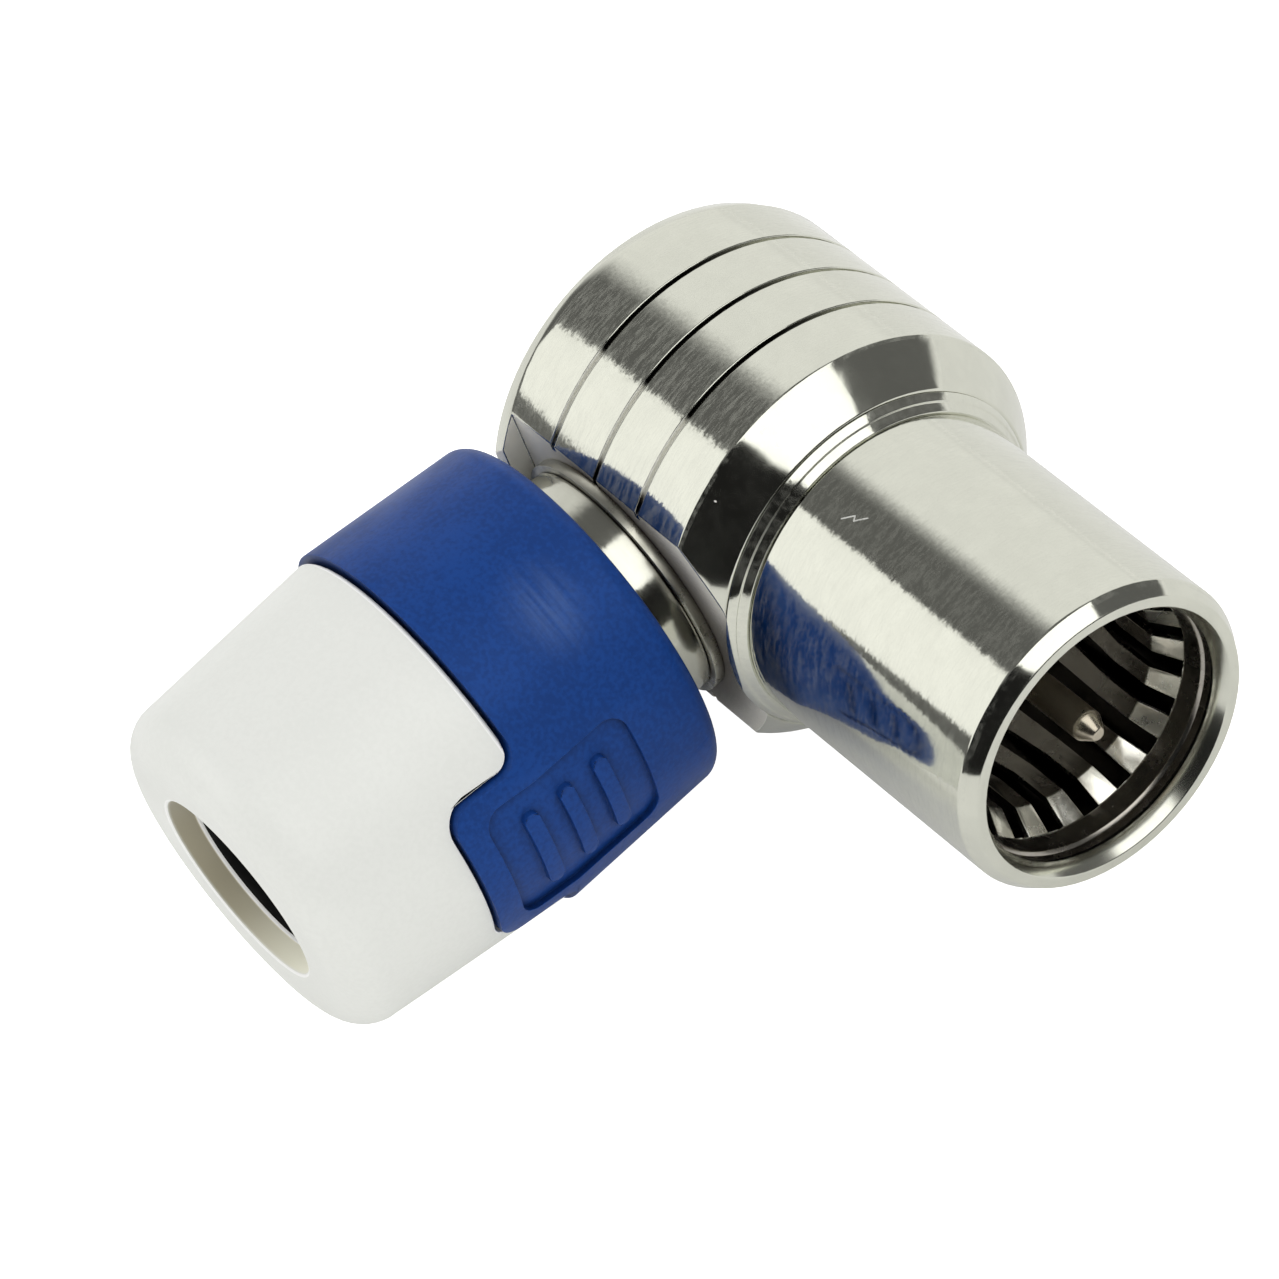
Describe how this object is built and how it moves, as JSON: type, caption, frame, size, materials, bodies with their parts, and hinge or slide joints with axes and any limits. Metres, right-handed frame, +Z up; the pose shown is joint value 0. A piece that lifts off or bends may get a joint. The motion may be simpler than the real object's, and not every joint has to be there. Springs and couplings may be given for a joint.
{
  "type": "right-angle push-on f connector",
  "caption": "Right-angle push-on coaxial F connector with a sprung contact cage and a clamp-on cap that grips the cable.",
  "frame": {"origin": "where the centre pin leaves the front insulator's face, on the mating axis", "axes": "+X along the mating axis and out of the mouth, -Y along the cable and out of the cap, +Z up"},
  "size_m": [0.0285, 0.0338, 0.0168],
  "materials": {
    "plated_body": "nickel plated, turned",
    "plated_sleeve": "nickel plated, turned",
    "spring_sheet": "nickel plated spring sheet",
    "contact_metal": "plated contact metal",
    "insulator": "moulded",
    "blue_plastic": "satin moulded",
    "white_plastic": "satin moulded",
    "black_plastic": "satin moulded"
  },
  "bodies": {
    "plug": {"elbow_body": "plated_body", "rear_cap": "plated_body", "coupling_sleeve": "plated_sleeve", "shoulder_ring": "plated_sleeve", "contact_cage": "spring_sheet", "cage_keeper": "spring_sheet", "front_insulator": "insulator", "insulator_ring": "plated_sleeve", "centre_pin": "contact_metal", "contact_block": "contact_metal", "wire_clip": "contact_metal", "chamber_insulator": "insulator", "neck_tube": "plated_body", "neck_washer": "plated_body", "guide_bush": "insulator", "ferrule": "plated_sleeve", "lock_ring": "spring_sheet", "clamp_collar": "blue_plastic", "clamp_sleeve": "black_plastic"},
    "cap": {"clamp_cap": "white_plastic"}
  },
  "joints": [
    {"name": "cap_slide", "type": "slide", "parent": "plug", "child": "cap", "axis": [0, -1, 0], "range_m": [0, 0.0036]}
  ]
}
